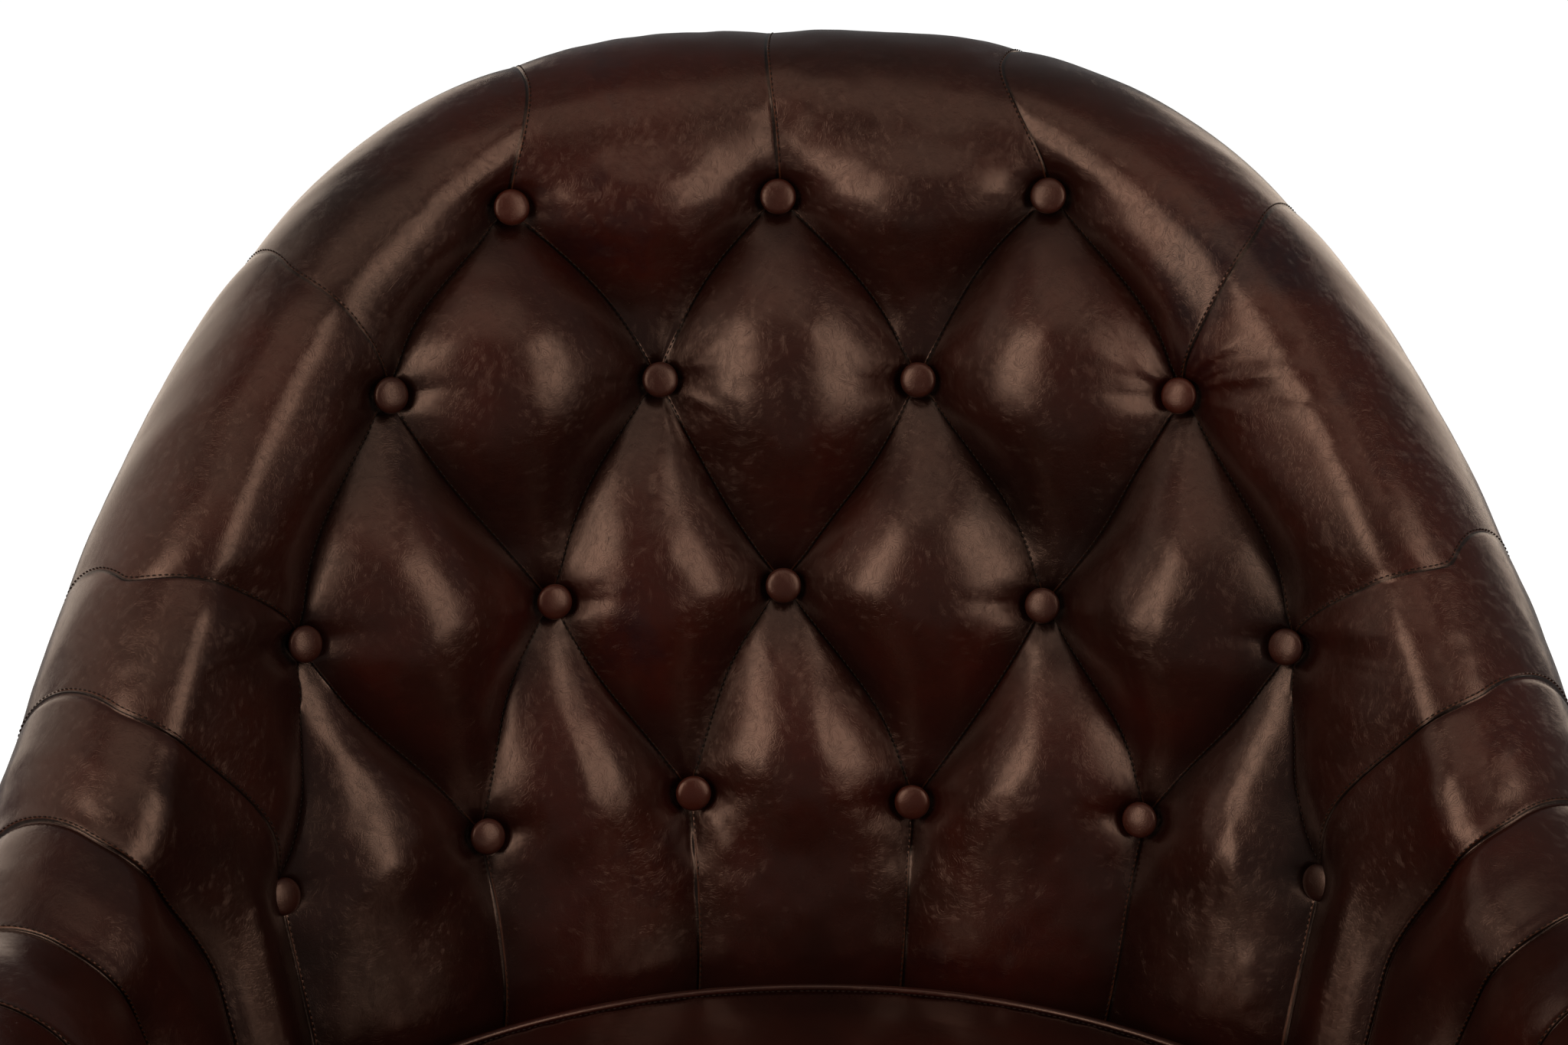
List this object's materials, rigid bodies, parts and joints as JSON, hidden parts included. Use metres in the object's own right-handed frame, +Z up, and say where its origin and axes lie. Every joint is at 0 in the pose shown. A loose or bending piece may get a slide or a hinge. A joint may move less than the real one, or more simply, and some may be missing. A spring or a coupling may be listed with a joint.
{
  "type": "tub chair",
  "caption": "Low upholstered tub chair with a deep-buttoned curved back, channelled roll arms and a loose D-shaped seat cushion on turned legs.",
  "frame": {"origin": "centre of the chair's bounding box in plan, at the floor", "axes": "+Z up, the chair faces -Y, +X to the right of someone who looks at its front"},
  "size_m": [0.6986, 0.7186, 0.8372],
  "materials": {
    "leather": "satin",
    "button_leather": "satin",
    "beech": "matte",
    "leg_wood": "satin",
    "spring_steel": "satin",
    "zinc_steel": "satin",
    "hessian": "matte",
    "webbing": "matte",
    "deck_cloth": "matte",
    "board": "matte",
    "dust_cloth": "matte",
    "foam": "matte",
    "glide_nylon": "satin"
  },
  "bodies": {
    "chair": {"front_rail": "beech", "side_rail_left": "beech", "side_rail_right": "beech", "back_seat_rail": "beech", "corner_blocks": "beech", "rear_leg_blocks": "beech", "frame_dowels": "beech", "arm_posts": "beech", "side_posts": "beech", "back_posts": "beech", "top_back_rail": "beech", "arm_rail_left": "beech", "arm_rail_right": "beech", "seat_springs": "spring_steel", "spring_clips": "spring_steel", "seat_hessian": "hessian", "deck_pad": "deck_cloth", "front_edge_roll": "hessian", "back_webbing": "webbing", "arm_webbing": "webbing", "inside_back": "leather", "inside_arm_left": "leather", "inside_arm_right": "leather", "tuft_buttons": "button_leather", "outside_board": "board", "outside_back": "leather", "outside_arm_left": "leather", "outside_arm_right": "leather", "arm_facing_left": "leather", "arm_facing_right": "leather", "facing_welts": "leather", "front_border": "leather", "dust_cover": "dust_cloth", "front_leg_left": "leg_wood", "front_leg_right": "leg_wood", "rear_leg_left": "leg_wood", "rear_leg_right": "leg_wood", "leg_plates": "zinc_steel", "leg_bolts": "zinc_steel", "plate_screws": "zinc_steel", "glides": "glide_nylon"},
    "cushion": {"cushion_cover": "leather", "cushion_core": "foam"}
  },
  "joints": [
    {"name": "cushion_lift", "type": "slide", "parent": "chair", "child": "cushion", "axis": [0, 0, 1], "range_m": [0, 0.25]}
  ]
}
